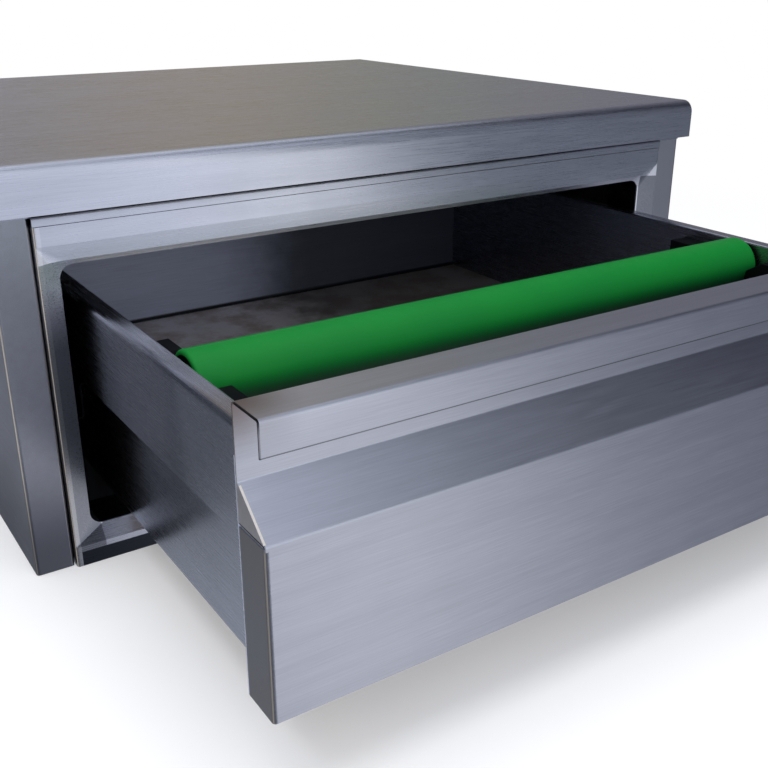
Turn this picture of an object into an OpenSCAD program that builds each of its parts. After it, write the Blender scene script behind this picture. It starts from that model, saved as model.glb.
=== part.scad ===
// Coffee knock drawer: a low stainless housing with its worktop, a drawer on telescopic
// rails, and a rubber-sleeved knock bar resting in two cradles across the drawer.
// X runs to the right, Y to the back, Z up. The origin is the middle of the underside.
// The drawer is drawn pulled out by drawer_open.

/* [Housing] */
// Depth of the housing, from the face frame to the back
unit_d = 648; // [640:1:720]
// Thickness of the housing's sheet
case_sheet = 1.2; // [0.8:0.1:1.5]
// Height of the folded edge of the top deck
deck_h = 7.5; // [5:0.5:12]
// Height of the dark gap between the deck and the worktop
worktop_gap = 3; // [2:0.5:6]
// Height of the worktop's edge
worktop_h = 36.5; // [30:0.5:50]
// Radius of the worktop's front nose
nose_r = 12; // [6:1:18]
// How far the worktop stands in front of the face frame
worktop_overhang = 10; // [4:0.5:16]
// Width of the lip folded back under the worktop's front edge
worktop_lip = 18; // [10:1:30]
// Length of each spacer pad under the worktop
pad_l = 60; // [40:5:90]
// Width of each spacer pad under the worktop
pad_w = 40; // [30:5:60]
// Diameter of the fixing holes in the base
base_hole_d = 9; // [6:0.5:12]
// Distance between the base holes from left to right
base_hole_dx = 560; // [480:10:600]
// Distance between the base holes from front to back
base_hole_dy = 540; // [440:10:580]
// Height of the flanges round the base
base_flange = 20; // [12:1:35]
// Width of the flange along the top of each side panel
side_flange = 15; // [10:1:25]
// Depth of the edges turned back beside the face frame
post_return = 12; // [8:0.5:15]
// Gap between the face frame and the post on each side of it
post_seam = 0.8; // [0.3:0.1:2]
// How far the face frame stands in front of the posts
post_step = 5; // [2:0.5:7]
// Gap between the face frame and the deck's folded edge
deck_seam = 0.5; // [0.3:0.1:1]
// Outer radius of the housing's upright folds
case_fold_r = 2.6; // [2:0.1:4]
// Width of the flange along the back of each side panel
back_flange = 18; // [14:1:30]
// Diameter of the screws that hold the back panel
back_screw_d = 4; // [3:0.5:5]
// Distance of the end screws of the back panel from its top and bottom
back_screw_inset = 32; // [25:1:60]

/* [Face frame] */
// Width of the drawer opening
opening_w = 616; // [600:1:622]
// Height of the drawer opening
opening_h = 224; // [216:1:240]
// Width of the housing beside the opening
side_border = 50; // [40:0.5:70]
// Height of the frame under the opening
sill_h = 30; // [26:1:50]
// Height of the frame above the opening
head_h = 33; // [27:1:50]
// Width of the sloping border above and beside the opening
bevel_w = 18; // [12:0.5:22]
// Width of the sloping border under the opening
bevel_low = 12; // [8:0.5:18]
// Depth of the sloping border round the opening
bevel_d = 9.9; // [8:0.1:20]
// Radius of the opening's corners
corner_r = 11; // [5:0.5:16]
// Depth of the flange that turns back round the opening
jamb_d = 42; // [30:1:60]
// Diameter of the screws through the jambs
jamb_screw_d = 4; // [3:0.5:5]
// Distance of the jamb screws below and above the opening's ends
jamb_screw_inset = 25; // [18:1:50]

/* [Drawer box] */
// Thickness of the drawer's sheet
drawer_sheet = 1; // [0.8:0.1:1.2]
// Depth of the drawer box from front to back
drawer_d = 600; // [570:1:620]
// How far the drawer is pulled out
drawer_open = 309.55; // [100:0.05:540]
// Gap between the opening's side and the drawer's skirt
side_gap = 12.9; // [8:0.1:16]
// Gap between the opening's top and the drawer's sides
top_gap = 28.5; // [26:0.5:36]
// Height of the drawer's sides
side_h = 181.5; // [170:0.5:184]
// Height of the skirt that hides each rail
skirt_h = 75.5; // [60:0.5:90]
// Radius of the outer edge along the top of each side
side_top_r = 4.5; // [2.5:0.5:6]
// Width of the lip folded in under each side
side_lip = 12; // [8:1:20]
// Depth of the pan below the top of the sides
pan_depth = 125.5; // [100:0.5:132]
// Radius of the bends between the pan's floor and its walls
pan_r = 4; // [2:0.5:12]
// Width of the flange along the top of the pan's back wall
pan_flange = 10; // [6:1:16]
// Height of the two braces under the pan
brace_h = 38; // [20:1:44]
// Width of each brace
brace_w = 30; // [20:1:50]
// Width of each foot of a brace
brace_foot = 15; // [10:1:25]
// Distance of each brace from the end of the drawer box
brace_inset = 105; // [70:5:180]

/* [Drawer front] */
// Thickness of the front's sheet
front_sheet = 1.2; // [1:0.1:1.5]
// How far the front laps over each side of the opening
front_lap = 5; // [3:0.5:8]
// How far the front rises above the opening
front_rise = 3; // [1:0.5:8]
// Height of the front
front_h = 185.7; // [170:0.1:200]
// Overall thickness of the front
front_t = 30.4; // [26:0.1:40]
// Height of the turned-down lip of the handle
lip_h = 21.5; // [14:0.5:26]
// Height of the finger recess behind the lip
recess_h = 47; // [38:0.5:56]
// Height of the sloping face under the recess
slope_h = 25.3; // [16:0.1:32]
// Outer radius of the front's folds
fold_r = 2.4; // [1.8:0.1:4]
// Height of the slit between the two end returns
slit_h = 2; // [1:0.5:4]
// Clearance between the closed front and the face frame
seat_gap = 0.6; // [0.4:0.1:2]
// Diameter of the screws that hold the front
front_screw_d = 5; // [4:0.5:6]

/* [Knock bar] */
// Diameter of the rubber sleeve
sleeve_d = 48; // [44:0.5:56]
// Diameter of the tube inside the sleeve
tube_d = 40; // [32:0.5:41]
// Wall of the tube
tube_wall = 1.5; // [1:0.1:3]
// Radius of the sleeve's rounded ends
sleeve_end_r = 3.5; // [1:0.5:3.8]
// Gap between the end of the bar and the drawer's side
bar_end_gap = 3.7; // [2:0.1:8]
// Distance of the bar behind the drawer front
bar_back = 154; // [110:1:220]
// Depth of the bar's axis below the top of the sides
bar_drop = 20.8; // [14:0.1:30]
// How far the bar's plugs reach into the tube
plug_l = 14; // [8:1:25]
// Thickness of each cradle
cradle_t = 19; // [12:1:30]
// Width of each cradle from front to back
cradle_w = 133; // [118:1:160]
// Width of the cradle's mouth
mouth_w = 83; // [70:1:96]
// Depth of the cradle's top below the top of the sides
cradle_drop = 10.7; // [6:0.1:14]
// Height of the cradle under the bar
cradle_base = 15; // [8:1:24]
// Clearance between the bar and its cradles
bar_clearance = 0.3; // [0.2:0.1:0.6]
// Diameter of the cradle's screws
cradle_screw_d = 4; // [3:0.5:5]

/* [Telescopic rails] */
// Length of each rail member
rail_l = 550; // [540:5:560]
// Width of the closed set of rail members
rail_w = 12.7; // [12.7:0.1:13.5]
// Thickness of the rail members
rail_sheet = 1.2; // [1:0.1:1.3]
// Diameter of the bearing balls
ball_d = 4; // [3.8:0.1:4]
// Radial clearance of a ball in its race
ball_clearance = 0.05; // [0.04:0.01:0.08]
// Height of the outer ball rows above the middle of the rail
outer_row = 19.5; // [19.5:0.1:21]
// Height of the inner ball rows above the middle of the rail
inner_row = 12.2; // [11:0.1:12.2]
// Number of balls in each row
ball_count = 8; // [4:1:8]
// Spacing of the balls in a row
ball_pitch = 20; // [12:1:20]
// Thickness of the bracket that carries each rail
bracket_sheet = 1.5; // [1.2:0.1:2]
// Height of the bracket's upright
bracket_h = 29; // [20:1:40]
// Height of the bracket's flange on the side panel
bracket_flange = 25; // [15:1:40]
// Gap between the skirt's lower edge and the bracket
skirt_gap = 0.7; // [0.5:0.1:2]
// Play between the rail and the skirt
rail_play = 0.2; // [0.1:0.05:0.5]

/* [Hidden] */
$fn = 64;
eps = 0.01;

STEEL = [0.72, 0.73, 0.76];
DARK_STEEL = [0.45, 0.47, 0.5];
ZINC = [0.62, 0.64, 0.66];
GREEN = [0.11, 0.55, 0.2];
BLACK = [0.06, 0.06, 0.06];
BOARD = [0.6, 0.48, 0.34];

// Overall width of the unit
unit_w = opening_w + 2 * side_border;

// Places along Y
y_face = -unit_d / 2;
y_post = y_face + post_step;
y_opening = y_face + bevel_d;
y_back_face = unit_d / 2;
// The closed front stops seat_gap short of the sloping border
y_front_closed = y_opening - bevel_d * front_lap / bevel_w - seat_gap - drawer_sheet;
y_front_back = y_front_closed - drawer_open;
y_front = y_front_back - front_t;
y_box = y_front_back + drawer_sheet;
y_box_end = y_front_back + drawer_d;
y_bar = y_front_back + bar_back;

// Places along Z
z_opening = sill_h;
z_opening_top = sill_h + opening_h;
frame_h = z_opening_top + head_h;
z_deck = frame_h + deck_h;
z_worktop = z_deck + worktop_gap;
z_worktop_top = z_worktop + worktop_h;
z_side_top = z_opening_top - top_gap;
z_side = z_side_top - side_h;
z_skirt = z_side_top - skirt_h;
z_floor = z_side_top - pan_depth;
z_front_top = z_opening_top + front_rise;
z_front = z_front_top - front_h;
z_recess = z_front_top - recess_h;
z_slope = z_recess - slope_h;
z_bar = z_side_top - bar_drop;
z_cradle_top = z_side_top - cradle_drop;

// Places along X, all on the left, where X is negative
x_case = unit_w / 2;
x_opening = opening_w / 2;
x_frame = x_opening + bevel_w;
x_skirt = x_opening - side_gap;
flange_w = rail_w + rail_play + 2 * drawer_sheet;
x_inside = x_skirt - flange_w;
x_front = x_opening + front_lap;
bar_l = 2 * (x_inside - bar_end_gap);

// Telescopic rails: u runs from the cabinet side to the drawer side, w runs up
race_r = ball_d / 2 + ball_clearance;
race_out = race_r + rail_sheet;
rail_h = 2 * (outer_row + race_out);
rail_z = z_skirt - skirt_gap + rail_h / 2;
rail_x = x_inside + drawer_sheet + rail_w;
rail_y = y_opening + 14;
outer_u = 6;
inner_u = 7.4;
middle_u = rail_sheet + 1;
race_steps = 10;
cage_t = 0.5;
cage_l = ball_count * ball_pitch + 10;
outer_cage_y = rail_y + 150 - 0.25 * drawer_open;
inner_cage_y = rail_y + 150 - 0.75 * drawer_open;

// Unit vector along v
function unit(v) = v / norm(v);
// Vector v turned by angle a
function turned(v, a) = [v.x * cos(a) - v.y * sin(a), v.x * sin(a) + v.y * cos(a)];
// Signed angle from vector a to vector b
function bend_angle(a, b) = atan2(a.x * b.y - a.y * b.x, a * b);
// Points on an arc round centre c
function arc(c, r, from, to, steps = race_steps) =
    [for (k = [0:steps]) let (a = from + (to - from) * k / steps) c + r * [cos(a), sin(a)]];
// A list in reverse order
function reversed(list) = [for (i = [len(list) - 1:-1:0]) list[i]];
// A half outline closed by its own mirror image about the u axis
function mirrored_outline(half) = concat(half, [for (p = reversed(half)) [p.x, -p.y]]);

// One side of a folded sheet at corner i, as an arc; side is 1 on the left of the path
function fold_arc(path, i, r, t, side, steps) =
    let (
        a = unit(path[i] - path[i - 1]),
        b = unit(path[i + 1] - path[i]),
        angle = bend_angle(a, b),
        way = sign(angle),
        across = [-a.y, a.x],
        start = path[i] - a * r * tan(abs(angle) / 2),
        centre = start + across * way * r
    )
    [for (k = [0:steps])
        centre + turned(-across * way * (r - way * side * t / 2), angle * k / steps)];
// One side of a folded sheet from end to end; path is its middle line, radii its bends
function fold_side(path, radii, t, side, steps) =
    let (
        n = len(path),
        a = unit(path[1] - path[0]),
        b = unit(path[n - 1] - path[n - 2])
    )
    concat(
        [path[0] + side * t / 2 * [-a.y, a.x]],
        [for (i = [1:n - 2]) each fold_arc(path, i, radii[i - 1], t, side, steps)],
        [path[n - 1] + side * t / 2 * [-b.y, b.x]]
    );
// Closed outline of a folded sheet of thickness t
function folded(path, radii, t, steps = 6) =
    concat(fold_side(path, radii, t, 1, steps), reversed(fold_side(path, radii, t, -1, steps)));

// Extrudes an outline given in Y and Z along X
module along_x(from, to) {
    translate([from, 0, 0]) rotate([90, 0, 90]) linear_extrude(height = to - from) children();
}
// Extrudes an outline given in X and Z along Y
module along_y(from, to) {
    translate([0, to, 0]) rotate([90, 0, 0]) linear_extrude(height = to - from) children();
}
// Block between two opposite corners
module block(low, high) {
    translate(low) cube(high - low);
}
// Draws a left-hand piece on the right
module on_right() {
    mirror([1, 0, 0]) children();
}
// Rectangle with round corners about the middle of the opening
module round_rect(w, h, r) {
    translate([0, z_opening + opening_h / 2]) {
        square([w - 2 * r, h], center = true);
        square([w, h - 2 * r], center = true);
        for (sx = [-1, 1], sz = [-1, 1])
            translate([sx * (w / 2 - r), sz * (h / 2 - r)]) circle(r = r);
    }
}
// Screw along +Z with its head above z = 0 and its shank below
module pan_screw(d, l) {
    head_r = d * 0.95;
    head_h = d * 0.6;
    translate([0, 0, -l]) cylinder(d = d, h = l + eps);
    rotate_extrude()
        polygon([[0, 0], [head_r, 0], [head_r, head_h * 0.45], [head_r * 0.7, head_h * 0.9], [0, head_h]]);
}

// Opening's outline grown by g
module opening_outline(g) {
    round_rect(opening_w + 2 * g, opening_h + 2 * g, corner_r + g);
}
// Outline of the sloping border's outer edge grown by g
module border_outline(g) {
    translate([-x_frame - g, z_opening - bevel_low - g])
        square([2 * (x_frame + g), opening_h + bevel_low + bevel_w + 2 * g]);
}
// Solid between the border's outer edge at depth y0 and the opening at depth y1
module slope_block(y0, y1, g) {
    hull() {
        along_y(y0 - eps, y0) border_outline(g);
        along_y(y1, y1 + eps) opening_outline(g);
    }
}

// Plan of everything behind the frame's front, with its two rounded upright folds
function frame_plan() =
    let (r = case_fold_r)
    concat(
        arc([-x_frame + r, y_face + r], r, 180, 270, 6),
        arc([x_frame - r, y_face + r], r, 270, 360, 6),
        [[x_frame, y_back_face], [-x_frame, y_back_face]]
    );

// Pressed frame round the opening: flat bands, sloping border and edges turned back
module face_frame() {
    t = case_sheet;
    r = case_fold_r - t / 2;
    x = x_frame - t / 2;
    grow = t * sqrt(1 + pow(bevel_w / bevel_d, 2));
    color(STEEL) difference() {
        union() {
            linear_extrude(height = frame_h)
                polygon(folded([[-x, y_face + post_return], [-x, y_face + t / 2],
                                [x, y_face + t / 2], [x, y_face + post_return]], [r, r], t));
            intersection() {
                slope_block(y_face + eps, y_opening, grow);
                linear_extrude(height = frame_h) polygon(frame_plan());
            }
            along_y(y_opening, y_opening + jamb_d) opening_outline(t);
        }
        slope_block(y_face, y_opening, 0);
        along_y(y_opening - eps, y_opening + jamb_d + 1) opening_outline(0);
        for (s = [-1, 1], z = jamb_screw_z)
            translate([s * x_opening, jamb_screw_y, z]) rotate([0, 90, 0])
                cylinder(d = jamb_screw_d + 0.2, h = 10, center = true);
    }
}
jamb_screw_y = y_opening + jamb_d - 12;
jamb_screw_z = [z_opening + jamb_screw_inset, z_opening_top - jamb_screw_inset];

// Upright channel between the jamb and the side panel
module stile() {
    t = case_sheet;
    outer = -x_case + t * 2.5;
    inner = -x_opening - t * 1.5;
    y_web = y_opening + jamb_d - t / 2;
    color(DARK_STEEL) difference() {
        translate([0, 0, t * 1.5])
            linear_extrude(height = frame_h - 3 * t)
                polygon(folded([[outer, y_opening + 3], [outer, y_web], [inner, y_web], [inner, y_opening + 3]],
                               [t + 1, t + 1], t));
        for (z = jamb_screw_z)
            translate([inner, jamb_screw_y, z]) rotate([0, 90, 0])
                cylinder(d = jamb_screw_d + 0.2, h = 10, center = true);
    }
}
module stile_left() { stile(); }
module stile_right() { on_right() stile(); }

// Screws through the jambs into the stiles
module frame_screws() {
    color(ZINC) for (s = [-1, 1], z = jamb_screw_z)
        translate([s * x_opening, jamb_screw_y, z]) rotate([0, -s * 90, 0]) pan_screw(jamb_screw_d, 9);
}

// Side panel folded into a post at the front, with a flange along its top
module side_panel() {
    t = case_sheet;
    r = case_fold_r - t / 2;
    x_wall = -x_case + t / 2;
    x_post = -x_frame - post_seam - t / 2;
    z_top = z_deck - t;
    color(STEEL) difference() {
        union() {
            linear_extrude(height = z_top)
                polygon(folded([[x_wall, y_back_face - t], [x_wall, y_post + t / 2],
                                [x_post, y_post + t / 2], [x_post, y_post + post_return]], [r, r], t));
            block([-x_case, y_back_face - 2 * t, base_flange + 1],
                  [-x_case + back_flange, y_back_face - t, frame_h - 5]);
            along_y(y_post + 2 * case_fold_r, y_back_face - t)
                polygon(folded([[x_wall, z_top - 20], [x_wall, z_top - t / 2],
                                [-x_case + side_flange, z_top - t / 2]], [t], t));
        }
        back_screw_holes();
    }
}
module side_panel_left() { side_panel(); }
module side_panel_right() { on_right() side_panel(); }

module back_panel() {
    color(STEEL) difference() {
        block([-x_case, y_back_face - case_sheet, 0], [x_case, y_back_face, frame_h]);
        back_screw_holes();
    }
}

// Screws through the back panel into the side panels' flanges
module back_screws() {
    color(ZINC) for (s = [-1, 1], z = back_screw_z)
        translate([s * back_screw_x, y_back_face, z]) rotate([-90, 0, 0]) pan_screw(back_screw_d, 9);
}
module back_screw_holes() {
    for (s = [-1, 1], z = back_screw_z)
        translate([s * back_screw_x, y_back_face, z]) rotate([90, 0, 0])
            cylinder(d = back_screw_d + 0.2, h = 10, center = true);
}
back_screw_x = x_case - back_flange * 0.6;
back_screw_z = [back_screw_inset, frame_h / 2, frame_h - back_screw_inset];

// Base tray with its fixing holes
module base_panel() {
    t = case_sheet;
    x = x_case - t;
    color(STEEL) difference() {
        along_y(y_face + t, y_back_face - t)
            polygon(folded([[-x + t / 2, base_flange], [-x + t / 2, t / 2],
                            [x - t / 2, t / 2], [x - t / 2, base_flange]], [t, t], t));
        for (side = [0, 1])
            mirror([side, 0, 0])
                block([-x_case, y_face, -1], [-x_frame + case_fold_r + 0.3, y_post + post_return + 0.3, base_flange + 1]);
        for (sx = [-1, 1], sy = [-1, 1])
            translate([sx * base_hole_dx / 2, sy * base_hole_dy / 2, -1])
                cylinder(d = base_hole_d, h = t + 2);
    }
}

// Lid of the housing, whose folded edge shows above the face frame, between the posts
module top_deck() {
    t = case_sheet;
    z_low = frame_h + deck_seam;
    color(STEEL) {
        block([-x_case, y_post, z_deck - t], [x_case, y_back_face, z_deck]);
        along_x(-x_frame, x_frame)
            polygon(folded([[y_face + t / 2, z_low], [y_face + t / 2, z_deck - t / 2],
                            [y_post + t, z_deck - t / 2]], [t], t));
        block([-x_case, y_back_face - t, z_low], [x_case, y_back_face, z_deck - t + eps]);
    }
}

// Side view of the worktop with its round nose, taken in by g on every face but the back
function worktop_outline(g, low) =
    let (
        front = y_face - worktop_overhang + g,
        top = z_worktop_top - g,
        r = max(nose_r - g, 0.5)
    )
    concat(
        [[y_back_face - g, low], [front, low]],
        arc([front + r, top - r], r, 180, 90, 16),
        [[y_back_face - g, top]]
    );

// Folded stainless skin of the worktop
module worktop_skin() {
    t = case_sheet;
    y_nose = y_face - worktop_overhang;
    color(STEEL) difference() {
        along_x(-x_case, x_case) polygon(worktop_outline(0, z_worktop));
        along_x(-x_case + t, x_case - t) polygon(worktop_outline(t, z_worktop + t));
        block([-x_case + t, y_nose + worktop_lip, z_worktop - 1],
              [x_case - t, y_back_face - t, z_worktop + t + 1]);
    }
}

// Board that fills the worktop
module worktop_core() {
    t = case_sheet;
    y_nose = y_face - worktop_overhang;
    color(BOARD) difference() {
        along_x(-x_case + t, x_case - t) polygon(worktop_outline(t, z_worktop));
        block([-x_case, y_nose, z_worktop - 1], [x_case, y_nose + worktop_lip, z_worktop + t]);
    }
}

// Spacer pads that carry the worktop on the deck
module worktop_pads() {
    color(BLACK) for (sx = [-1, 0, 1], sy = [-1, 1])
        translate([sx * (x_case - 80) - pad_l / 2, sy * (unit_d / 2 - 70) - pad_w / 2, z_deck])
            cube([pad_l, pad_w, worktop_gap]);
}

// Bracket from the side panel in under the skirt, with a ledge that carries the rail
module rail_bracket() {
    t = bracket_sheet;
    z_ledge = rail_z - rail_h / 2 - t / 2;
    z_foot = z_ledge - bracket_h;
    x_wall = -x_case + case_sheet + t / 2;
    x_upright = -rail_x - 4;
    y_behind = y_opening + jamb_d + 2;
    color(ZINC) difference() {
        along_y(rail_y + 5, rail_y + rail_l - 5)
            polygon(folded([[x_wall, z_foot - bracket_flange], [x_wall, z_foot], [x_upright, z_foot],
                            [x_upright, z_ledge], [-rail_x + rail_w - 1.5, z_ledge]],
                           [t + 0.5, t + 0.5, t + 0.5], t));
        block([-x_case, rail_y, z_foot - bracket_flange - 1], [-x_opening + 2, y_behind, z_foot + t]);
    }
}
module rail_bracket_left() { rail_bracket(); }
module rail_bracket_right() { on_right() rail_bracket(); }

// Places a rail outline given in u and w on the left of the drawer
module rail_member(y, l) {
    translate([-rail_x, y + l, rail_z]) rotate([90, 0, 0]) linear_extrude(height = l) children();
}

// Fixed member: a channel whose edges roll over the outer ball rows
module outer_rail() {
    t = rail_sheet;
    c = [outer_u, outer_row];
    under = asin(race_r / race_out);
    color(ZINC) rail_member(rail_y, rail_l)
        polygon(mirrored_outline(concat(
            [[0, outer_row + race_out]],
            arc(c, race_out, 90, 15),
            arc(c, race_r, 15, 165),
            arc(c, race_out, 165, 180 - under, 3),
            [[t, outer_row + race_r]])));
}
module outer_rail_left() { outer_rail(); }
module outer_rail_right() { on_right() outer_rail(); }

// Middle member: outer races above and below, inner races facing the middle
module middle_rail() {
    t = rail_sheet;
    c1 = [outer_u, outer_row];
    c2 = [inner_u, inner_row];
    bridge = inner_row + race_out * sin(60);
    color(ZINC) rail_member(rail_y - drawer_open / 2, rail_l)
        polygon(mirrored_outline(concat(
            [[middle_u, outer_row - 2.9]],
            [c1 + race_out * [cos(195), sin(195)]],
            arc(c1, race_r, 195, 345),
            arc(c1, race_out, 345, 295, 4),
            arc(c2, race_out, 60, 15, 4),
            arc(c2, race_r, 15, 165),
            arc(c2, race_out, 165, 120, 4),
            [[middle_u + t, bridge]])));
}
module middle_rail_left() { middle_rail(); }
module middle_rail_right() { on_right() middle_rail(); }

// Drawer member, fixed to the drawer's side
module inner_rail() {
    t = rail_sheet;
    c = [inner_u, inner_row];
    over = asin(race_r / race_out);
    color(ZINC) rail_member(rail_y - drawer_open, rail_l)
        polygon(mirrored_outline(concat(
            [[rail_w, inner_row - race_r]],
            arc(c, race_out, -over, -15, 3),
            arc(c, race_r, -15, -145),
            arc(c, race_out, -145, -90, 5),
            [[rail_w - t, inner_row - race_out]])));
}
module inner_rail_left() { inner_rail(); }
module inner_rail_right() { on_right() inner_rail(); }

// Cage strip from u0 to u1 that holds two rows of balls at height row
module ball_cage(y, u0, u1, ball_u, row) {
    color(STEEL) difference() {
        rail_member(y, cage_l)
            polygon(folded([[u1, row], [u0 + cage_t / 2, row], [u0 + cage_t / 2, -row], [u1, -row]],
                           [cage_t, cage_t], cage_t, 3));
        for (k = [0:ball_count - 1])
            translate([-rail_x + ball_u, y + 5 + (k + 0.5) * ball_pitch, rail_z - row - 3])
                cylinder(r = ball_d / 2 + 0.1, h = 2 * row + 6);
    }
}
// Two rows of balls at height row
module ball_rows(y, ball_u, row) {
    color(STEEL) for (k = [0:ball_count - 1], s = [-1, 1])
        translate([-rail_x + ball_u, y + 5 + (k + 0.5) * ball_pitch, rail_z + s * row])
            sphere(d = ball_d, $fn = 24);
}
outer_cage_u = rail_sheet + 0.25;
inner_cage_u = middle_u + rail_sheet + 0.3;
module outer_cage() { ball_cage(outer_cage_y, outer_cage_u, outer_u + 2.9, outer_u, outer_row); }
module outer_balls() { ball_rows(outer_cage_y, outer_u, outer_row); }
module inner_cage() { ball_cage(inner_cage_y, inner_cage_u, inner_u + 2.9, inner_u, inner_row); }
module inner_balls() { ball_rows(inner_cage_y, inner_u, inner_row); }
module outer_cage_left() { outer_cage(); }
module outer_cage_right() { on_right() outer_cage(); }
module outer_balls_left() { outer_balls(); }
module outer_balls_right() { on_right() outer_balls(); }
module inner_cage_left() { inner_cage(); }
module inner_cage_right() { on_right() inner_cage(); }
module inner_balls_left() { inner_balls(); }
module inner_balls_right() { on_right() inner_balls(); }

// Drawer side: one sheet folded over the rail, with a skirt outside and a wall inside
module drawer_side() {
    t = drawer_sheet;
    x_wall = -x_inside - t / 2;
    x_out = -x_skirt + t / 2;
    color(STEEL) difference() {
        along_y(y_box, y_box_end)
            polygon(folded([[x_wall + side_lip, z_side + t / 2], [x_wall, z_side + t / 2],
                            [x_wall, z_side_top - t / 2], [x_out, z_side_top - t / 2], [x_out, z_skirt]],
                           [t + 0.5, t + 0.5, side_top_r - t / 2], t));
        for (y = cradle_screw_y)
            translate([-x_inside, y, cradle_screw_z]) rotate([0, 90, 0])
                cylinder(d = cradle_screw_d + 0.2, h = 6, center = true);
    }
}
module drawer_side_left() { drawer_side(); }
module drawer_side_right() { on_right() drawer_side(); }

// Front wall, floor and back wall of the drawer in one folded sheet
module drawer_pan() {
    t = drawer_sheet;
    z_low = z_floor - t / 2;
    color(STEEL) difference() {
        along_x(-x_inside, x_inside)
            polygon(folded([[y_box + t / 2, z_side_top], [y_box + t / 2, z_low],
                            [y_box_end - t / 2, z_low], [y_box_end - t / 2, z_side_top - t / 2],
                            [y_box_end + pan_flange, z_side_top - t / 2]],
                           [pan_r + t / 2, pan_r + t / 2, t + 0.5], t));
        for (x = front_screw_x)
            translate([x, y_box, front_screw_z]) rotate([90, 0, 0])
                cylinder(d = front_screw_d + 0.2, h = 6, center = true);
    }
}

// Hat-shaped brace under the pan
module cross_brace(y) {
    t = drawer_sheet;
    z_top = z_floor - 1.5 * t;
    z_low = z_floor - t - brace_h + t / 2;
    half = brace_w / 2;
    color(DARK_STEEL) along_x(-x_inside, x_inside)
        polygon(folded([[y - half - brace_foot, z_top], [y - half, z_top], [y - half, z_low],
                        [y + half, z_low], [y + half, z_top], [y + half + brace_foot, z_top]],
                       [t + 0.5, t + 0.5, t + 0.5, t + 0.5], t));
}
module cross_brace_front() { cross_brace(y_box + brace_inset); }
module cross_brace_rear() { cross_brace(y_box_end - brace_inset); }

// Folded front: lip, cap, finger recess, sloping face and a flat panel with end returns
module drawer_front() {
    t = front_sheet;
    r = fold_r - t / 2;
    y_panel = y_front + t / 2;
    y_recess = y_front_back - t / 2;
    z_cap = z_front_top - t / 2;
    z_split = z_slope - t / 2;
    color(STEEL) {
        along_x(-x_front, x_front)
            polygon(folded([[y_panel, z_front_top - lip_h], [y_panel, z_cap], [y_recess, z_cap],
                            [y_recess, z_recess], [y_panel, z_slope], [y_panel, z_split - slit_h]],
                           [r, r, r, r], t));
        translate([0, 0, z_front]) linear_extrude(height = z_split - slit_h / 2 - z_front)
            polygon(folded([[-x_front + t / 2, y_front_back], [-x_front + t / 2, y_panel],
                            [x_front - t / 2, y_panel], [x_front - t / 2, y_front_back]], [r, r], t));
        along_x(-x_front + 2 * fold_r, x_front - 2 * fold_r)
            polygon(folded([[y_panel, z_front + 20], [y_panel, z_front + t / 2],
                            [y_front_back - 2, z_front + t / 2]], [r], t));
        for (s = [-1, 1])
            along_x(s * (x_front - t / 2) - t / 2, s * (x_front - t / 2) + t / 2)
                polygon([[y_front_back, z_recess - t / 2], [y_panel, z_slope],
                         [y_front_back, z_split + slit_h / 2]]);
    }
}

// Flat sheet that closes the back of the front and joins it to the drawer box
module front_inner_panel() {
    color(STEEL) difference() {
        block([-x_front, y_front_back, z_front], [x_front, y_box, z_side_top]);
        for (x = front_screw_x)
            translate([x, y_box, front_screw_z]) rotate([90, 0, 0])
                cylinder(d = front_screw_d + 0.2, h = 6, center = true);
    }
}
front_screw_x = [-230, -80, 80, 230];
front_screw_z = z_floor + pan_r + 26;

// Screws from inside the pan through the inner panel, each with its nut
module front_screws() {
    color(ZINC) for (x = front_screw_x) translate([x, y_box + drawer_sheet, front_screw_z]) rotate([-90, 0, 0]) {
        pan_screw(front_screw_d, 8);
        translate([0, 0, -2 * drawer_sheet - 4]) cylinder(d = front_screw_d * 1.8, h = 4, $fn = 6);
    }
}

// Moulded block with an open notch that the end of the bar drops into
module cradle() {
    z_low = z_bar - sleeve_d / 2 - bar_clearance - cradle_base;
    notch_r = sleeve_d / 2 + bar_clearance;
    foot = 14;
    color(BLACK) difference() {
        along_x(-x_inside, -x_inside + cradle_t)
            polygon([[y_bar - cradle_w / 2, z_cradle_top], [y_bar - cradle_w / 2, z_bar - foot],
                     [y_bar - notch_r, z_low], [y_bar + notch_r, z_low],
                     [y_bar + cradle_w / 2, z_bar - foot], [y_bar + cradle_w / 2, z_cradle_top]]);
        translate([-x_inside - 1, y_bar, z_bar]) rotate([0, 90, 0]) cylinder(r = notch_r, h = cradle_t + 2);
        along_x(-x_inside - 1, -x_inside + cradle_t + 1)
            polygon([[y_bar - notch_r, z_bar], [y_bar + notch_r, z_bar],
                     [y_bar + mouth_w / 2, z_cradle_top + 1], [y_bar - mouth_w / 2, z_cradle_top + 1]]);
        for (y = cradle_screw_y)
            translate([-x_inside, y, cradle_screw_z]) rotate([0, 90, 0])
                cylinder(d = cradle_screw_d + 0.1, h = 24, center = true);
    }
}
cradle_screw_y = [y_bar - cradle_w / 2 + 12, y_bar + cradle_w / 2 - 12];
cradle_screw_z = z_cradle_top - 9;
module cradle_left() { cradle(); }
module cradle_right() { on_right() cradle(); }

// Screws from outside the drawer's walls into the cradles
module cradle_screws() {
    color(ZINC) for (s = [-1, 1], y = cradle_screw_y)
        translate([s * (x_inside + drawer_sheet), y, cradle_screw_z]) rotate([0, s * 90, 0])
            pan_screw(cradle_screw_d, 12);
}

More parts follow.
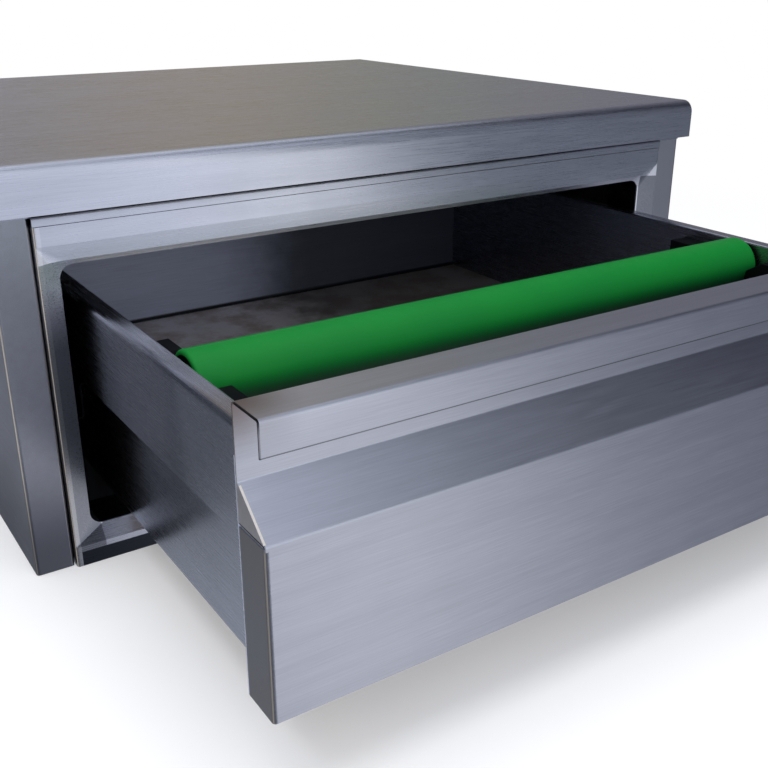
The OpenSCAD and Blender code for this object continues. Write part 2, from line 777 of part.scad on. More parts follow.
// Rubber sleeve with rounded ends
module bar_sleeve() {
    h = bar_l / 2;
    r = sleeve_d / 2;
    bore = tube_d / 2 + 0.05;
    color(GREEN) translate([0, y_bar, z_bar]) rotate([0, 90, 0]) rotate_extrude($fn = 96)
        polygon(concat([[bore, -h]], arc([r - sleeve_end_r, -h + sleeve_end_r], sleeve_end_r, -90, 0, 6),
                       arc([r - sleeve_end_r, h - sleeve_end_r], sleeve_end_r, 0, 90, 6), [[bore, h]]));
}
module bar_tube() {
    h = bar_l - 2 * plug_head;
    color(STEEL) translate([0, y_bar, z_bar]) rotate([0, 90, 0]) difference() {
        cylinder(d = tube_d, h = h, center = true);
        cylinder(d = tube_d - 2 * tube_wall, h = h + 2, center = true);
    }
}
plug_head = 2;

// Plug that closes one end of the tube
module bar_plug() {
    color(BLACK) translate([-bar_l / 2, y_bar, z_bar]) rotate([0, 90, 0]) {
        cylinder(d = tube_d, h = plug_head);
        cylinder(d = tube_d - 2 * tube_wall - 0.1, h = plug_head + plug_l);
    }
}
module bar_plug_left() { bar_plug(); }
module bar_plug_right() { on_right() bar_plug(); }

face_frame();
stile_left();
stile_right();
side_panel_left();
side_panel_right();
back_panel();
base_panel();
top_deck();
worktop_skin();
worktop_core();
worktop_pads();
rail_bracket_left();
rail_bracket_right();
outer_rail_left();
outer_rail_right();
frame_screws();
back_screws();
middle_rail_left();
middle_rail_right();
outer_cage_left();
outer_cage_right();
outer_balls_left();
outer_balls_right();
inner_cage_left();
inner_cage_right();
inner_balls_left();
inner_balls_right();
drawer_side_left();
drawer_side_right();
drawer_pan();
cross_brace_front();
cross_brace_rear();
inner_rail_left();
inner_rail_right();
drawer_front();
front_inner_panel();
front_screws();
cradle_left();
cradle_right();
cradle_screws();
bar_sleeve();
bar_tube();
bar_plug_left();
bar_plug_right();
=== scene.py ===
"""Dresses the coffee knock drawer for rendering.

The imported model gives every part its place. This script gives each part its finish, replaces the
sleeve and the two cradles with more detailed pieces, and adds a plain studio.
"""

import logging
import math
from collections.abc import Sequence
from dataclasses import dataclass, field
from enum import Enum

import bmesh
import bpy
from mathutils import Matrix, Vector

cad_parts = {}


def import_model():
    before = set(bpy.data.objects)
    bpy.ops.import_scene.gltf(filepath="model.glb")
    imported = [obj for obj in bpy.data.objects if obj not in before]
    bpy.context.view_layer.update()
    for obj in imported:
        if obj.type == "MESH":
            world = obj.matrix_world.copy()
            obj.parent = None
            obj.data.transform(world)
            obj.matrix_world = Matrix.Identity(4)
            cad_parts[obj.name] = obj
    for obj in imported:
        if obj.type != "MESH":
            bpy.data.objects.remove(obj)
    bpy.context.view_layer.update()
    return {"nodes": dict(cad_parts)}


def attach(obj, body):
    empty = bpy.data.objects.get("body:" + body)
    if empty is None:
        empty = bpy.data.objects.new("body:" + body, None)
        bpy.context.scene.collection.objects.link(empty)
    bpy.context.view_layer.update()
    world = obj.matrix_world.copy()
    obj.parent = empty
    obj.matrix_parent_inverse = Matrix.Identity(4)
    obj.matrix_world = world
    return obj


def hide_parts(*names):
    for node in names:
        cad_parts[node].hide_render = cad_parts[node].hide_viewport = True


log = logging.getLogger("knock_drawer")

MM = 0.001
# Most values of a noise texture lie between these
NOISE_SPAN = (0.3, 0.7)
# Points closer than this are one, in metres
WELD_DISTANCE = 1e-6

Colour = tuple[float, float, float, float]
Pair = tuple[float, float]
Socket = bpy.types.NodeSocket
Material = bpy.types.Material
BMesh = bmesh.types.BMesh
WHITE = "ffffff"
# Way that the drawer's front faces
AHEAD = (0.0, -1.0, 0.0)


# ---- Colours and nodes ----


def colour(code: str, shade: float = 1.0) -> Colour:
    """Turn an sRGB hex value into linear colour.

    Args:
        code: Six hex digits, such as "8a8f96".
        shade: Factor on the linear colour.

    Returns:
        Linear red, green, blue and an alpha of 1.
    """
    parts = [int(code[i : i + 2], 16) / 255 for i in (0, 2, 4)]
    linear = [c / 12.92 if c <= 0.04045 else ((c + 0.055) / 1.055) ** 2.4 for c in parts]
    red, green, blue = [min(1.0, c * shade) for c in linear]
    return (red, green, blue, 1.0)


def around(middle: float, changes: Pair) -> Pair:
    """Give the two values that lie off a middle one by the given changes."""
    return (middle + changes[0], middle + changes[1])


@dataclass(frozen=True)
class Graph:
    """Node tree, with short ways to add the nodes that the finishes share."""

    tree: bpy.types.NodeTree

    def add(self, kind: str, links: dict | None = None, **settings) -> bpy.types.Node:
        """Add a node with its settings and links.

        Args:
            kind: The node's type name.
            links: Input name or index to the output socket that feeds it, or to a constant.
            settings: Attributes of the node itself.

        Returns:
            The new node.
        """
        node = self.tree.nodes.new(kind)
        for name, value in settings.items():
            setattr(node, name, value)
        for name, source in (links or {}).items():
            socket = node.inputs[name]
            if isinstance(source, Socket):
                self.tree.links.new(source, socket)
            else:
                socket.default_value = source
        return node

    def place(self) -> Socket:
        """Give object coordinates, in metres."""
        return self.add("ShaderNodeTexCoord").outputs["Object"]

    def facing(self) -> Socket:
        """Give the way the surface faces."""
        return self.add("ShaderNodeNewGeometry").outputs["Normal"]

    def axes(self, vector: Socket) -> list[Socket]:
        """Split a vector into its X, Y and Z."""
        return list(self.add("ShaderNodeSeparateXYZ", {"Vector": vector}).outputs)

    def calc(self, operation: str, *values: Socket | float) -> Socket:
        """Combine values with a math node."""
        node = self.add("ShaderNodeMath", dict(enumerate(values)), operation=operation)
        return node.outputs["Value"]

    def vector(self, operation: str, *values: Socket | Sequence[float]) -> bpy.types.Node:
        """Add a vector math node on the given vectors."""
        return self.add("ShaderNodeVectorMath", dict(enumerate(values)), operation=operation)

    def times(self, *factors: Socket | float) -> Socket:
        """Multiply values.

        Args:
            factors: The values, sockets or constants.

        Returns:
            Their product.
        """
        product = factors[0]
        for factor in factors[1:]:
            product = self.calc("MULTIPLY", product, factor)
        return product

    def inverse(self, mask: Socket) -> Socket:
        """Turn a mask round, to one minus its value."""
        return self.calc("SUBTRACT", 1.0, mask)

    def below(self, value: Socket, limit_mm: float) -> Socket:
        """Mask where a coordinate is below a limit."""
        return self.calc("LESS_THAN", value, limit_mm * MM)

    def above(self, value: Socket, limit_mm: float) -> Socket:
        """Mask where a coordinate isn't below a limit."""
        return self.inverse(self.below(value, limit_mm))

    def between(self, value: Socket, ends_mm: Pair) -> Socket:
        """Mask where a coordinate lies between two limits."""
        return self.times(self.above(value, ends_mm[0]), self.below(value, ends_mm[1]))

    def scaled(
        self, value: Socket, ends: Pair = (0.0, 1.0), to: Pair = (0.0, 1.0), soft: bool = False
    ) -> Socket:
        """Carry a value from one range over to another, and hold it at both ends.

        Args:
            value: The value.
            ends: The range it comes from.
            to: The range it goes to.
            soft: Whether it eases in and out.

        Returns:
            The new value.
        """
        ranges = {"From Min": ends[0], "From Max": ends[1], "To Min": to[0], "To Max": to[1]}
        node = self.add("ShaderNodeMapRange", {"Value": value, **ranges})
        node.interpolation_type = "SMOOTHSTEP" if soft else "LINEAR"
        return node.outputs["Result"]

    def faded(
        self, value: Socket, ends_mm: Pair, to: Pair = (0.0, 1.0), soft: bool = True
    ) -> Socket:
        """Let a mask change between two coordinates.

        Args:
            value: The coordinate.
            ends_mm: Where the change starts and ends, in millimetres.
            to: The mask before and after it.
            soft: Whether it eases in and out.

        Returns:
            The mask.
        """
        return self.scaled(value, (ends_mm[0] * MM, ends_mm[1] * MM), to, soft)

    def ramp(self, source: Socket, stops: Sequence[float], tones: Sequence[Colour]) -> Socket:
        """Add a colour ramp.

        Args:
            source: The value that drives the ramp.
            stops: Values at which the ramp reaches a tone.
            tones: The linear colours there.

        Returns:
            The ramp's colour.
        """
        node = self.add("ShaderNodeValToRGB", {"Fac": source})
        elements = node.color_ramp.elements
        while len(elements) < len(stops):
            elements.new(1.0)
        for element, stop, tone in zip(elements, stops, tones):
            element.position = stop
            element.color = tone
        return node.outputs["Color"]

    def mixed(self, mask: Socket, first: Socket, second: Socket | Colour) -> Socket:
        """Mix a second colour over a first one by a mask."""
        node = self.add("ShaderNodeMix", {"Factor": mask, 6: first, 7: second}, data_type="RGBA")
        return node.outputs[2]

    def layered(self, base: Socket, *layers: tuple[Socket, str]) -> Socket:
        """Lay tints over a colour.

        Args:
            base: The colour under them.
            layers: The mask and the hex colour of each tint, from the lowest up.

        Returns:
            The mixed colour.
        """
        for mask, code in layers:
            base = self.mixed(mask, base, colour(code))
        return base

    def noise(
        self, size_mm: float | Sequence[float], detail: float = 2.0, roughness: float = 0.5
    ) -> Socket:
        """Add a noise on the object whose patches have a real size.

        Args:
            size_mm: Size of the patches, or their sizes along X, Y and Z.
            detail: How many finer layers there are.
            roughness: How strong each finer layer is.

        Returns:
            The noise, from 0 to 1.
        """
        place, scale = self.place(), 1.0
        if isinstance(size_mm, Sequence):
            stretch = {"Vector": place, "Scale": [1 / (size * MM) for size in size_mm]}
            place = self.add("ShaderNodeMapping", stretch).outputs["Vector"]
        else:
            scale = 1 / (size_mm * MM)
        links = {"Vector": place, "Scale": scale, "Detail": detail, "Roughness": roughness}
        return self.add("ShaderNodeTexNoise", links).outputs["Fac"]

    def bump(
        self, height: Socket, strength: float, depth_mm: float, under: Socket | None = None
    ) -> Socket:
        """Add relief.

        Args:
            height: Its height, from 0 to 1.
            strength: How much of it shows.
            depth_mm: Its depth at a height of 1.
            under: The normal that it sits on, if not the surface's own.

        Returns:
            The new normal.
        """
        links = {"Height": height, "Strength": strength, "Distance": depth_mm * MM}
        if under is not None:
            links["Normal"] = under
        return self.add("ShaderNodeBump", links).outputs["Normal"]

    def raised(self, facing: Socket, lift: Socket) -> Socket:
        """Turn a normal upwards.

        Args:
            facing: The normal.
            lift: How much of straight up is added to it.

        Returns:
            The new normal, of length 1.
        """
        up = self.add("ShaderNodeCombineXYZ", {"Z": lift}).outputs["Vector"]
        leaning = self.vector("ADD", facing, up).outputs["Vector"]
        return self.vector("NORMALIZE", leaning).outputs["Vector"]


def blank_material(name: str) -> tuple[Material, Graph]:
    """Make a node material without nodes.

    Args:
        name: The material's name.

    Returns:
        The material and its cleared nodes.
    """
    material = bpy.data.materials.new(name)
    material.use_nodes = True
    material.node_tree.nodes.clear()
    return material, Graph(material.node_tree)


# ---- Finishes ----


@dataclass(frozen=True)
class Finish:
    """Finish of one kind of surface."""

    name: str

    def build(self) -> Material:
        """Make the material.

        Returns:
            The material, with its shader on its surface.
        """
        material, graph = blank_material(self.name)
        shader = graph.add("ShaderNodeBsdfPrincipled", self.inputs(graph))
        graph.add("ShaderNodeOutputMaterial", {"Surface": shader.outputs["BSDF"]})
        return material

    def inputs(self, graph: Graph) -> dict:
        """Give what feeds the shader; each finish has its own.

        Args:
            graph: The material's nodes.

        Returns:
            Sockets and constants by input name.
        """
        raise NotImplementedError


class Grain(Enum):
    """Way that the brushing lines of a sheet run."""

    ALONG_X = (1, 0, 0)
    ALONG_Y = (0, 1, 0)


@dataclass(frozen=True)
class BrushedStainless(Finish):
    """Stainless steel sheet, 1.4301, brushed with grit belts and handled a little."""

    tint: str = "c4c6ce"
    roughness: float = 0.38
    metallic: float = 1.0
    anisotropy: float = 0.7
    grain: Grain = Grain.ALONG_X
    # A real belt leaves lines about 0.15 mm apart. They are drawn several times as coarse, because
    # lines that fine don't show at about one pixel to the millimetre.
    spacing_mm: float = 0.75
    streak_mm: float = 36.0
    line_span: Pair = (0.36, 0.64)
    line_shades: Pair = (0.9, 1.07)
    line_roughness: Pair = (-0.05, 0.05)
    line_strength: float = 0.035
    line_depth_mm: float = 0.12
    # Longer, wider bands where the belt pressed harder: size across and along, times the lines'
    bands: Pair = (9.0, 4.0)
    band_share: float = 0.3
    # Wiped hand marks, which dull the brushing in patches
    smudge_mm: float = 70.0
    smudge_span: Pair = (0.35, 0.75)
    smudge_roughness: Pair = (-0.015, 0.03)
    # A little of the other axes, so that a cut edge square to the grain has a direction too
    edge_lean: float = 0.03

    def pattern(self, across: float = 1.0, along: float = 1.0) -> list[float]:
        """Give the size of the brushing along each axis.

        Args:
            across: Factor on the lines' spacing.
            along: Factor on their length.

        Returns:
            Sizes along X, Y and Z, in millimetres.
        """
        sizes = (self.spacing_mm * across, self.streak_mm * along)
        return [sizes[axis] for axis in self.grain.value]

    def inputs(self, graph: Graph) -> dict:
        """Brush the sheet.

        Args:
            graph: The material's nodes.

        Returns:
            Sockets and constants by input name.
        """
        lines = graph.noise(self.pattern(), detail=3.0, roughness=0.65)
        bands = graph.noise(self.pattern(*self.bands))
        smudge = graph.noise(self.smudge_mm, detail=4.0, roughness=0.6)
        dull = around(self.roughness, self.smudge_roughness)
        rough = graph.calc(
            "ADD",
            graph.scaled(smudge, self.smudge_span, dull),
            graph.scaled(lines, NOISE_SPAN, self.line_roughness),
        )
        blend = graph.add("ShaderNodeMix", {"Factor": self.band_share, 2: lines, 3: bands})
        tones = [colour(self.tint, shade) for shade in self.line_shades]
        brushed = graph.ramp(blend.outputs[0], self.line_span, tones)
        scratched = graph.bump(lines, self.line_strength, self.line_depth_mm, self.normal(graph))
        return {
            "Base Color": self.worn(graph, brushed),
            "Metallic": self.metallic,
            "Roughness": rough,
            "Anisotropic": self.anisotropy,
            "Normal": scratched,
            "Tangent": self.tangent(graph),
        }

    def worn(self, graph: Graph, tint: Socket) -> Socket:
        """Leave plain sheet as it is; sheets with marks of their own override this.

        Args:
            graph: The material's nodes.
            tint: The brushed colour.

        Returns:
            The colour with its marks.
        """
        return tint

    def normal(self, graph: Graph) -> Socket:
        """Give the normal under the scratches; sheets with soft forms override this."""
        return graph.facing()

    def tangent(self, graph: Graph) -> Socket:
        """Give the direction across the brushing, in which highlights stretch.

        Args:
            graph: The material's nodes.

        Returns:
            A tangent that lies in the surface, square to the grain.
        """
        way = [
            axis if axis else self.edge_lean * (index + 1)
            for index, axis in enumerate(self.grain.value)
        ]
        return graph.vector("CROSS_PRODUCT", graph.facing(), way).outputs["Vector"]


@dataclass(frozen=True)
class FrontSteel(BrushedStainless):
    """Brushed sheet of the drawer's front: painted shade along the lip's edges and under the cap, a
    painted highlight on the fold, and a dark joint.
    """

    # Painted shade: a dark line along the lip's lower edge, and dark on the lip's left end under
    # the cap
    lip_edge_mm: float = 235.5
    line_mm: Pair = (-0.75, 0.75)
    lip_face_mm: float = -656.5
    left_end_mm: float = -313.0
    joint_and_shade_tint: str = "1d1f24"
    # The dark line fades towards the right, where it catches the light
    line_fade_mm: Pair = (20.0, 240.0)
    shade_line_share: float = 0.6
    # The painted shade on the left end reaches a little below that edge, and is darkest at the top,
    # under the cap
    lip_drop_mm: float = 1.0
    darkest_shade_mm: Pair = (249.0, 256.0)
    lip_end_shade_share: float = 0.45
    # Painted brownish shade and reflection of the cap's underside, round the corner under the cap's
    # left end
    cap_corner_mm: tuple[float, float, float] = (-313.0, -631.0, 257.0)
    cap_shade_reach_mm: float = 40.0
    cap_shade_share: float = 0.75
    cap_shade_tint: str = "6b5444"
    # Painted highlight on the fold along the sloping face's left edge, and the dark butt joint at
    # its foot
    fold_mm: Pair = (-312.85, -311.5)
    fold_height_mm: Pair = (186.0, 209.0)
    fold_highlight_tint: str = "fff4e4"
    joint_mm: float = 185.0
    joint_share: float = 0.85
    # Painted shade on the end return below the fold
    end_shade_tint: str = "8f9198"

    def worn(self, graph: Graph, tint: Socket) -> Socket:
        """Paint shade on the lip's edges and round the cap's corner, a highlight on the fold, and
        darken the joint.

        Args:
            graph: The material's nodes.
            tint: The brushed colour.

        Returns:
            The colour with its painted shade, highlight and dark joint.
        """
        place = graph.place()
        x, y, z = graph.axes(place)
        # line: painted shade along the lip's lower edge
        line = graph.times(
            graph.below(y, self.lip_face_mm),
            graph.between(z, around(self.lip_edge_mm, self.line_mm)),
            graph.faded(x, self.line_fade_mm, (self.shade_line_share, 0.0), soft=False),
        )
        end = graph.below(x, around(self.left_end_mm, self.line_mm)[1])
        # Painted shade on the lip's left end, darkest at the top under the cap
        lip_end_shade = graph.times(
            end,
            graph.below(y, self.cap_corner_mm[1]),
            graph.faded(z, self.darkest_shade_mm, (self.lip_end_shade_share, 1.0), soft=False),
            graph.above(z, self.lip_edge_mm - self.lip_drop_mm),
        )
        # Painted highlight on the fold along the sloping face's left edge
        fold = graph.times(graph.between(x, self.fold_mm), graph.between(z, self.fold_height_mm))
        joint = graph.times(
            graph.below(x, self.fold_mm[0]),
            graph.between(z, around(self.joint_mm, self.line_mm)),
            self.joint_share,
        )
        # Painted brownish shade and reflection round the corner under the cap
        away = graph.vector("DISTANCE", place, [v * MM for v in self.cap_corner_mm]).outputs["Value"]
        cap_shade = graph.faded(away, (0.0, self.cap_shade_reach_mm), (self.cap_shade_share, 0.0))
        # Painted shade on the end return below the fold
        end_shade_mask = graph.times(end, graph.below(z, self.fold_height_mm[0]))
        return graph.layered(
            tint,
            (end_shade_mask, self.end_shade_tint),
            (cap_shade, self.cap_shade_tint),
            (fold, self.fold_highlight_tint),
            (joint, self.joint_and_shade_tint),
            (line, self.joint_and_shade_tint),
            (lip_end_shade, self.joint_and_shade_tint),
        )


@dataclass(frozen=True)
class FaceSteel(BrushedStainless):
    """Brushed sheet of the face frame: a softly rolled border, and painted shade on the flange
    behind it.
    """

    # How far the rolled border's sheen follows the flat face, and how the border is told from it
    roll: float = 0.7
    border_tilt: Pair = (-0.8, -0.87)
    # Crown that folding leaves in the band over the opening
    crown: float = 0.25
    band_mm: float = 258.0
    # Painted shade on the flange turned back behind the opening
    inside_mm: float = -312.5
    inside_shade_tint: str = "24262b"
    # Painted highlight on the fold at the left end
    return_mm: float = -321.0
    return_highlight_share: float = 0.25
    return_highlight_tint: str = "f4f2f0"
    # The left border is darker low down, where it mirrors the drawer's side
    shade_mm: Pair = (225.0, 185.0)
    shade_side_mm: float = -300.0
    shade_tint: str = "84868d"
    # The right border is in shade, and the foot has painted shade, as it mirrors the shaded floor
    # under the drawer
    far_mm: Pair = (309.0, 325.5)
    far_tint: str = "70737c"
    foot_mm: float = 13.0
    foot_shade_tint: str = "303238"

    def normal(self, graph: Graph) -> Socket:
        """Round the border softly into the flat face, and crown the band over the opening.

        Args:
            graph: The material's nodes.

        Returns:
            The normal that the scratches sit on.
        """
        own = graph.facing()
        ahead = graph.axes(own)[1]
        border = graph.scaled(ahead, self.border_tilt, (0.0, self.roll))
        faces = {"Factor": border, 4: own, 5: AHEAD}
        rolled = graph.add("ShaderNodeMix", faces, data_type="VECTOR")
        band = graph.above(graph.axes(graph.place())[2], self.band_mm)
        return graph.raised(rolled.outputs[1], graph.times(band, self.crown))

    def worn(self, graph: Graph, tint: Socket) -> Socket:
        """Paint shade on the flange, the borders and the foot, and a highlight on the left fold.

        Args:
            graph: The material's nodes.
            tint: The brushed colour.

        Returns:
            The colour with its painted shade and highlight.
        """
        x, y, z = graph.axes(graph.place())
        fold = graph.below(x, self.return_mm)
        unfolded = graph.inverse(fold)
        near = graph.times(graph.faded(z, self.shade_mm), graph.below(x, self.shade_side_mm))
        far = graph.times(graph.between(x, self.far_mm), graph.below(z, self.band_mm))
        return graph.layered(
            tint,
            # Painted shade on the flange behind the opening
            (graph.times(graph.above(y, self.inside_mm), unfolded), self.inside_shade_tint),
            (near, self.shade_tint),
            (far, self.far_tint),
            # Painted highlight on the fold at the left end
            (graph.times(fold, self.return_highlight_share), self.return_highlight_tint),
            # Painted shade on the foot
            (graph.times(graph.below(z, self.foot_mm), unfolded), self.foot_shade_tint),
        )


@dataclass(frozen=True)
class WallSteel(BrushedStainless):
    """Brushed sheet of the drawer's sides, with painted shade along the flange and on the right
    side's inner face.
    """

    # Painted shade on the faces that look up, along the flange
    top_tilt: Pair = (0.6, 0.95)
    flange_shade_tint: str = "aaabb2"
    # Painted shade on the right side's inner face
    inward_tilt: Pair = (-0.5, -0.95)
    inner_shade_tint: str = "9598a4"

    def worn(self, graph: Graph, tint: Socket) -> Socket:
        """Paint shade on the faces that look up, and on the right side's inner face.

        Args:
            graph: The material's nodes.
            tint: The brushed colour.

        Returns:
            The colour with its painted shade.
        """
        sideways, _, upwards = graph.axes(graph.facing())
        right = graph.above(graph.axes(graph.place())[0], 0.0)
        inner = graph.times(graph.scaled(sideways, self.inward_tilt), right)
        return graph.layered(
            tint,
            (graph.scaled(upwards, self.top_tilt), self.flange_shade_tint),
            (inner, self.inner_shade_tint),
        )


@dataclass(frozen=True)
class PostSteel(BrushedStainless):
    """Brushed sheet of the side panels, which fold into the front posts."""

    # Shade towards the floor
    foot_mm: Pair = (125.0, 15.0)
    foot_shade_tint: str = "75777f"
    # The posts' front faces; the right one is in shade over its height
    post_mm: float = -317.0
    right_tint: str = "9c9ea6"

    def worn(self, graph: Graph, tint: Socket) -> Socket:
        """Shade the sheet towards its foot and the right post over its height.

        Args:
            graph: The material's nodes.
            tint: The brushed colour.

        Returns:
            The shaded colour.
        """
        x, y, z = graph.axes(graph.place())
        right = graph.times(graph.below(y, self.post_mm), graph.above(x, 0.0))
        return graph.layered(
            tint, (graph.faded(z, self.foot_mm), self.foot_shade_tint), (right, self.right_tint)
        )


@dataclass(frozen=True)
class TopSteel(BrushedStainless):
    """Brushed sheet of the worktop and the deck: folding leaves a crown in their front edges."""

    crown: float = 0.25
    upright_tilt: Pair = (-0.9, -1.0)

    def normal(self, graph: Graph) -> Socket:
        """Turn the upright front edges a little upwards.

        Args:
            graph: The material's nodes.

        Returns:
            The normal that the scratches sit on.
        """
        own = graph.facing()
        ahead = graph.axes(own)[1]
        return graph.raised(own, graph.scaled(ahead, self.upright_tilt, (0.0, self.crown)))


@dataclass(frozen=True)
class LiningStainAndShade(BrushedStainless):
    """Steel inside the tub: painted light on the floor, brownish patches, painted shade in the
    bends.
    """

    # Painted light on the level floor, paler and warmer than the walls
    floor: str = "f2eef0"
    level_tilt: Pair = (0.93, 0.99)
    # Brownish patches on the floor: coffee stain and painted reflection
    stain: str = "c6b6aa"
    patch_mm: float = 45.0
    patch_span: Pair = (0.42, 0.6)
    patch_share: Pair = (0.15, 1.0)
    # Painted shade in the bends, which are neither upright nor level: where they leave the wall and
    # where they reach the floor
    bend: str = "07080b"
    leaving_tilt: Pair = (0.04, 0.2)
    arriving_tilt: Pair = (0.9, 0.99)
    # Painted light over the tub's left end, and painted shade towards its right end
    lit_end_mm: Pair = (-62.0, 62.0)
    right_shade_tint: str = "151a25"
    # How much of that painted shade shows on the wall and on the floor
    right_shade_share: Pair = (0.85, 0.62)
    # How far the patches push the painted shade's edge about on the floor, and what is left of that
    # up the wall, where it runs nearly straight
    ragged_mm: float = 170.0
    wall_share: float = 0.3

    def worn(self, graph: Graph, tint: Socket) -> Socket:
        """Paint light on the floor, brownish patches on it, and shade in the bends and towards the
        right end.

        Args:
            graph: The material's nodes.
            tint: The brushed colour.

        Returns:
            The colour with its painted light, shade and patches.
        """
        tilt = graph.calc("ABSOLUTE", graph.axes(graph.facing())[2])
        level = graph.scaled(tilt, self.level_tilt)
        patches = graph.noise(self.patch_mm, detail=5.0, roughness=0.62)
        stains = graph.scaled(patches, self.patch_span, self.patch_share)
        reach = self.ragged_mm * MM / 2
        pushed = graph.times(
            graph.scaled(patches, to=(-reach, reach)),
            graph.scaled(level, to=(self.wall_share, 1.0)),
        )
        edge = graph.calc("ADD", graph.axes(graph.place())[0], pushed)
        share = graph.scaled(level, to=self.right_shade_share)
        # Painted shade towards the right end, painted light over the left end
        right_shade = graph.times(graph.faded(edge, self.lit_end_mm), share)
        # Painted shade in the bends
        bend_shade = graph.times(
            graph.scaled(tilt, self.leaving_tilt),
            graph.scaled(tilt, self.arriving_tilt, (1.0, 0.0)),
        )
        return graph.layered(
            tint,
            (level, self.floor),
            (graph.times(level, stains), self.stain),
            (right_shade, self.right_shade_tint),
            (bend_shade, self.bend),
        )


@dataclass(frozen=True)
class ZincPlate(Finish):
    """Rolled steel with a bright zinc plate: smooth, faintly blue, with soft cloudy patches."""

    name: str = "zinc_plated_steel"
    tint: str = "b9bcc0"
    roughness: float = 0.3
    cloud_mm: float = 14.0
    cloud_shade: float = 0.82
    cloud_roughness: Pair = (0.1, -0.05)

    def inputs(self, graph: Graph) -> dict:
        """Cloud the plate.

        Args:
            graph: The material's nodes.

        Returns:
            Sockets and constants by input name.
        """
        cloud = graph.noise(self.cloud_mm, detail=5.0)
        tones = (colour(self.tint, self.cloud_shade), colour(self.tint))
        rough = around(self.roughness, self.cloud_roughness)
        return {
            "Base Color": graph.ramp(cloud, NOISE_SPAN, tones),
            "Metallic": 1.0,
            "Roughness": graph.scaled(cloud, NOISE_SPAN, rough),
            "Normal": graph.bump(cloud, strength=0.08, depth_mm=0.2),
        }


@dataclass(frozen=True)
class BearingSteel(Finish):
    """Hardened and polished ball steel with a film of grease."""

    name: str = "bearing_steel"
    tint: str = "c4c6ca"
    grease: str = "9d9a90"
    film_mm: float = 2.5
    film_span: Pair = (0.3, 0.6)
    roughness: Pair = (0.06, 0.24)

    def inputs(self, graph: Graph) -> dict:
        """Spread the grease.

        Args:
            graph: The material's nodes.

        Returns:
            Sockets and constants by input name.
        """
        film = graph.noise(self.film_mm)
        tones = (colour(self.grease), colour(self.tint))
        return {
            "Base Color": graph.ramp(film, self.film_span, tones),
            "Metallic": 1.0,
            "Roughness": graph.scaled(film, to=self.roughness),
        }


@dataclass(frozen=True)
class SatinRubber(Finish):
    """Solid coloured rubber, ground to size: satin, with fine grinding rings and knock marks."""

    name: str = "green_rubber"
    light: str = "0a7228"
    dark: str = "096e29"
    patch_mm: float = 60.0
    patch_span: Pair = (0.35, 0.65)
    # Grinding leaves rings of about 0.2 mm round the sleeve; they are drawn coarser to show, and
    # each streak of a ring runs a long way round
    ring_mm: float = 0.8
    ring_arc_mm: float = 1000 / 6
    mark_mm: float = 9.0
    roughness: Pair = (0.45, 0.6)
    ior: float = 1.52
    specular: float = 0.16
    # Painted shade on the lower half, between the axis and the underside
    film_mm: Pair = (213.0, 195.0)
    underside_shade_share: float = 0.9
    film: str = "08301f"

    def inputs(self, graph: Graph) -> dict:
        """Grind the rubber and paint shade on it from below.

        Args:
            graph: The material's nodes.

        Returns:
            Sockets and constants by input name.
        """
        rings = graph.noise((self.ring_mm, self.ring_arc_mm, self.ring_arc_mm))
        marks = graph.noise(self.mark_mm, detail=4.0, roughness=0.55)
        patch = graph.noise(self.patch_mm)
        clean = graph.ramp(patch, self.patch_span, (colour(self.dark), colour(self.light)))
        # film: painted shade on the sleeve's underside
        film = graph.faded(graph.axes(graph.place())[2], self.film_mm)
        marked = graph.bump(marks, strength=0.05, depth_mm=0.2)
        return {
            "Base Color": graph.layered(clean, (graph.times(film, self.underside_shade_share), self.film)),
            "Roughness": graph.scaled(marks, NOISE_SPAN, self.roughness),
            "IOR": self.ior,
            "Specular IOR Level": self.specular,
            "Normal": graph.bump(rings, strength=0.1, depth_mm=0.12, under=marked),
        }


@dataclass(frozen=True)
class MouldedPolymer(Finish):
    """Injection-moulded polymer with a spark-eroded texture, a little paler in patches."""

    name: str = "black_polyamide"
    tint: str = "050608"
    roughness: float = 0.5
    texture_mm: float = 0.9
    patch_mm: float = 20.0
    patch_span: Pair = (0.35, 0.75)
    patch_shade: float = 1.7
    patch_roughness: Pair = (-0.05, 0.1)
    ior: float = 1.5
    specular: float = 0.05

    def inputs(self, graph: Graph) -> dict:
        """Texture the polymer.

        Args:
            graph: The material's nodes.

        Returns:
            Sockets and constants by input name.
        """
        pits = graph.noise(self.texture_mm, detail=3.0, roughness=0.7)
        patch = graph.noise(self.patch_mm, detail=3.0)
        tones = (colour(self.tint), colour(self.tint, self.patch_shade))
        rough = around(self.roughness, self.patch_roughness)
        return {
            "Base Color": graph.ramp(patch, self.patch_span, tones),
            "Roughness": graph.scaled(patch, NOISE_SPAN, rough),
            "IOR": self.ior,
            "Specular IOR Level": self.specular,
            "Normal": graph.bump(pits, strength=0.25, depth_mm=0.15),
        }


@dataclass(frozen=True)
class ChipBoard(Finish):
    """Pressed particle board: pale flakes of a few millimetres in a brown binder."""

    name: str = "particle_board"
    flake_mm: float = 3.0
    # Binder, common flake and pale flake
    stops: tuple[float, ...] = (0.0, 0.5, 1.0)
    tints: tuple[str, ...] = ("7a5c3c", "a98458", "c8a87a")
    roughness: float = 0.85

    def inputs(self, graph: Graph) -> dict:
        """Press the flakes.

        Args:
            graph: The material's nodes.

        Returns:
            Sockets and constants by input name.
        """
        cells = {"Vector": graph.place(), "Scale": 1 / (self.flake_mm * MM)}
        flakes = graph.add("ShaderNodeTexVoronoi", cells, feature="F1").outputs["Color"]
        tone = graph.add("ShaderNodeSeparateColor", {"Color": flakes}).outputs["Red"]
        return {
            "Base Color": graph.ramp(tone, self.stops, [colour(code) for code in self.tints]),
            "Roughness": self.roughness,
            "Normal": graph.bump(tone, strength=0.2, depth_mm=0.3),
        }


